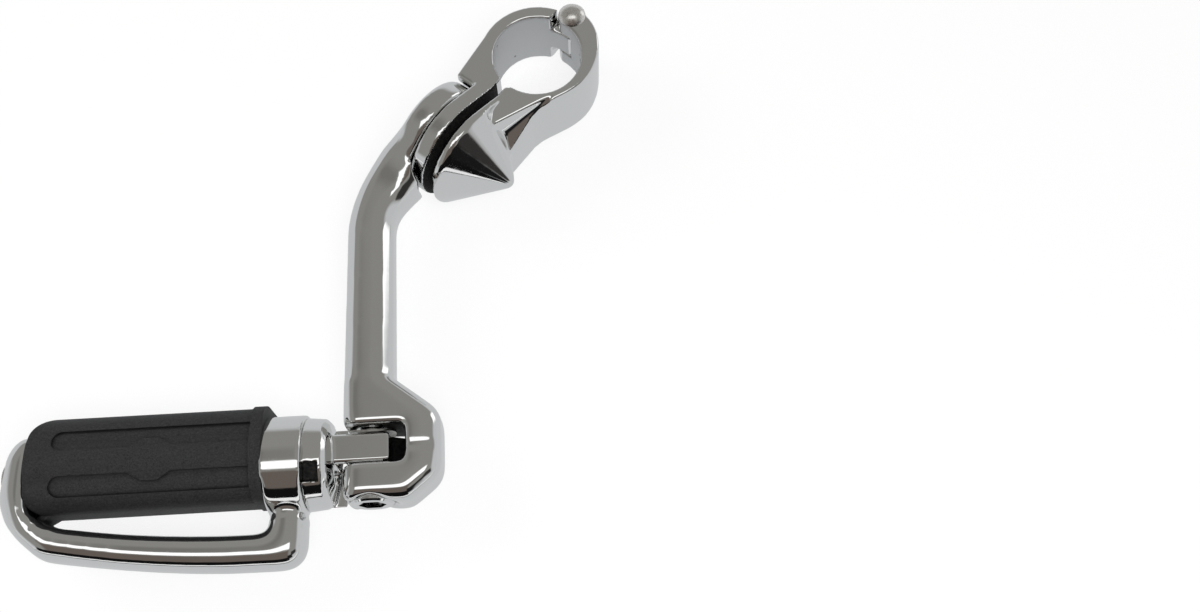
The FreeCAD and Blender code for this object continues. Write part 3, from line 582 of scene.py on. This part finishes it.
stageLook = {"drop": 0.0002, "size": 6.0, "diffuse": (0.86, 0.87, 0.87, 1), "shadowShare": 0.16,
             "seenNear": (0.58, 0.59, 0.60, 1), "seenSeam": (0.07, 0.07, 0.07, 1),
             "seenFar": (0.95, 0.95, 0.95, 1), "seamFar": -0.33, "seamNear": -0.27, "soft": 0.02}


def makeFloor():
    look = stageLook
    bpy.ops.object.select_all(action="DESELECT")
    height = cadBox[0].z - look["drop"]
    bpy.ops.mesh.primitive_plane_add(size=look["size"], location=(0, 0, height))
    floor = bpy.context.object
    floor.name = "floor"
    material = bpy.data.materials.new("paleFloor")
    material.use_nodes = True
    tree = material.node_tree
    tree.nodes.clear()
    output = addNode(tree, "ShaderNodeOutputMaterial")
    diffuse = addNode(tree, "ShaderNodeBsdfDiffuse", {"Color": look["diffuse"]})
    coords = addNode(tree, "ShaderNodeTexCoord")
    place = addNode(tree, "ShaderNodeSeparateXYZ")
    tree.links.new(coords.outputs["Object"], place.inputs[0])
    near, far, soft = look["seamNear"], look["seamFar"], look["soft"]
    inSeam = remap(tree, place.outputs["Y"], near, near - soft, 0, 1)
    beyond = remap(tree, place.outputs["Y"], far, far - soft, 0, 1)
    tone = mixColours(tree, inSeam, look["seenNear"], look["seenSeam"])
    tone = mixColours(tree, beyond, tone, look["seenFar"])
    toned = addNode(tree, "ShaderNodeEmission")
    tree.links.new(tone, toned.inputs["Color"])
    # the camera sees the white studio through it, and the arm when it swings lower
    clear = addNode(tree, "ShaderNodeBsdfTransparent")
    path = addNode(tree, "ShaderNodeLightPath")
    seen = mixShaders(tree, 1 - look["shadowShare"], diffuse.outputs[0], clear.outputs[0])
    forCamera = mixShaders(tree, path.outputs["Is Camera Ray"], diffuse.outputs[0], seen)
    forMetal = mixShaders(tree, path.outputs["Is Glossy Ray"], forCamera, toned.outputs[0])
    tree.links.new(forMetal, output.inputs["Surface"])
    floor.data.materials.append(material)


makeFloor()

# studio around the object. Each panel is given by how far it leans from straight up towards
# the front (lean) and to the right (side), in degrees, by the width of its soft edge and its tone
studioWhite = (1, 1, 1, 1)
studioWalls = (0.56, 0.57, 0.58, 1)
studioPanels = {
    "ceiling": {"lean": (-72, 60), "side": (-62, 56), "soft": 12, "tone": (0.27, 0.265, 0.25, 1)},
    "dimCorner": {"lean": (-20, -8), "side": (-28, -18), "soft": 14,
                  "tone": (0.19, 0.185, 0.175, 1)},
    "rightPanel": {"lean": (-92, -56), "side": (49, 63), "soft": 5, "tone": (1.3, 1.3, 1.3, 1)},
    "strip": {"lean": (2, 17), "side": (-24, 24), "soft": 3, "tone": (1.3, 1.3, 1.3, 1)},
    "brownWall": {"lean": (26, 64), "side": (-28, 22), "soft": 5, "tone": (0.14, 0.115, 0.10, 1)},
    "openingEnd": {"lean": (38, 60), "side": (38, 58), "soft": 4,
                   "tone": (0.035, 0.033, 0.032, 1)},
    "openingStep": {"lean": (55, 78), "side": (24, 38), "soft": 4,
                    "tone": (0.010, 0.010, 0.010, 1)},
    "opening": {"lean": (66, 91), "side": (-46, 24), "soft": 3, "tone": (0.006, 0.006, 0.006, 1)},
}


def makeWorld():
    world = bpy.data.worlds.new("studio")
    world.use_nodes = True
    bpy.context.scene.world = world
    tree = world.node_tree
    background = tree.nodes["Background"]
    coords = addNode(tree, "ShaderNodeTexCoord")
    split = addNode(tree, "ShaderNodeSeparateXYZ")
    tree.links.new(coords.outputs["Generated"], split.inputs[0])
    degrees = 180 / math.pi
    front = math2(tree, "MULTIPLY", split.outputs["Y"], -1.0)
    lean = math2(tree, "MULTIPLY", math2(tree, "ARCTAN2", front, split.outputs["Z"]), degrees)
    side = math2(tree, "MULTIPLY", math2(tree, "ARCSINE", split.outputs["X"], 0.0), degrees)
    colour = studioWalls
    for panel in studioPanels.values():
        share = 1.0
        soft = panel["soft"]
        for angle, (low, high) in ((lean, panel["lean"]), (side, panel["side"])):
            share = math2(tree, "MULTIPLY", share, remap(tree, angle, low - soft, low, 0, 1))
            share = math2(tree, "MULTIPLY", share, remap(tree, angle, high, high + soft, 1, 0))
        colour = mixColours(tree, share, colour, panel["tone"])
    path = addNode(tree, "ShaderNodeLightPath")
    colour = mixColours(tree, path.outputs["Is Camera Ray"], colour, studioWhite)
    tree.links.new(colour, background.inputs["Color"])


makeWorld()

lamps = {
    "keyPanel": {"at": (0.15, -0.45, 0.75), "size": (0.5, 0.35), "watts": 6.0},
    "fillPanel": {"at": (-0.75, 0.25, 0.55), "size": (0.6, 0.5), "watts": 4.0},
}


def makeLamps():
    aim = (cadBox[0] + cadBox[1]) / 2
    for name, lamp in lamps.items():
        bpy.ops.object.light_add(type="AREA", location=lamp["at"])
        light = bpy.context.object
        light.name = name
        light.data.shape = "RECTANGLE"
        light.data.size, light.data.size_y = lamp["size"]
        light.data.energy = lamp["watts"]
        light.rotation_euler = (aim - light.location).to_track_quat("-Z", "Y").to_euler()
        light.visible_glossy = False    # the metal shows the panels of the studio instead


makeLamps()

cameraLook = {"at": (0.008065, -0.258271, 0.417265), "tilt": 21.5, "turn": -3.3,
              "lens": 38.76, "sensor": 36, "clipStart": 0.01}


def makeCamera():
    look = cameraLook
    turned = (math.radians(look["tilt"]), 0, math.radians(look["turn"]))
    bpy.ops.object.camera_add(location=look["at"], rotation=turned)
    camera = bpy.context.object
    camera.data.lens = look["lens"]
    camera.data.sensor_width = look["sensor"]
    camera.data.clip_start = look["clipStart"]
    bpy.context.scene.camera = camera


makeCamera()
bpy.context.scene.view_settings.view_transform = "Standard"
print("stage, lamps and camera set")
